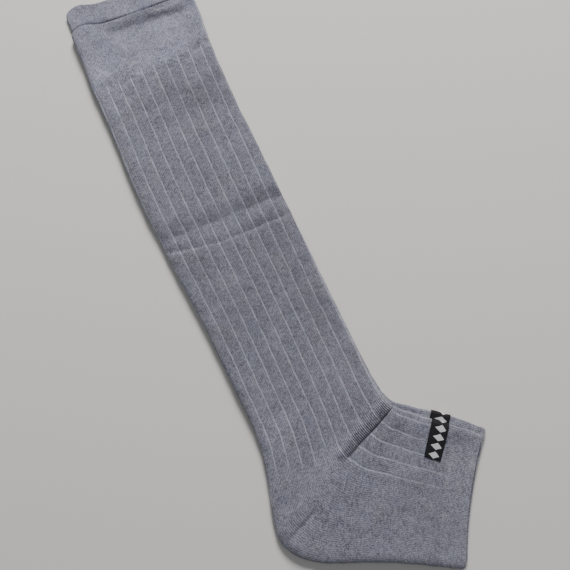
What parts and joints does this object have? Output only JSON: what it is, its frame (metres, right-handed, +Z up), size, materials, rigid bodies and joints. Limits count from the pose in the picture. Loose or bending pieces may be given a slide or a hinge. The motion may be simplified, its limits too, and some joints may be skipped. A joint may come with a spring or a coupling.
{
  "type": "pair of calf socks",
  "caption": "Pair of grey calf socks with open toes, laid flat and stacked: plain cuffs, ribbed legs, turned heels, welted toe bands and a small dark label on each instep.",
  "frame": {"origin": "on the surface the pair lies on, under the middle of its box", "axes": "+Z up from the surface, +Y up the legs towards the cuffs, +X from the calves towards the shins and toes"},
  "size_m": [0.1488, 0.4262, 0.0074],
  "materials": {
    "cuff_knit": "matt melange double welt, a little paler than the leg",
    "leg_knit": "matt melange fine knit with narrow pale dropped-stitch ribs",
    "toe_band_knit": "matt melange plain welt",
    "label_weave": "dark woven patch with small plain white motifs"
  },
  "bodies": {
    "root": {"lower_cuff": "cuff_knit", "lower_leg_foot": "leg_knit", "lower_toe_band": "toe_band_knit", "lower_label": "label_weave", "upper_cuff": "cuff_knit", "upper_leg_foot": "leg_knit", "upper_toe_band": "toe_band_knit", "upper_label": "label_weave"}
  },
  "joints": []
}
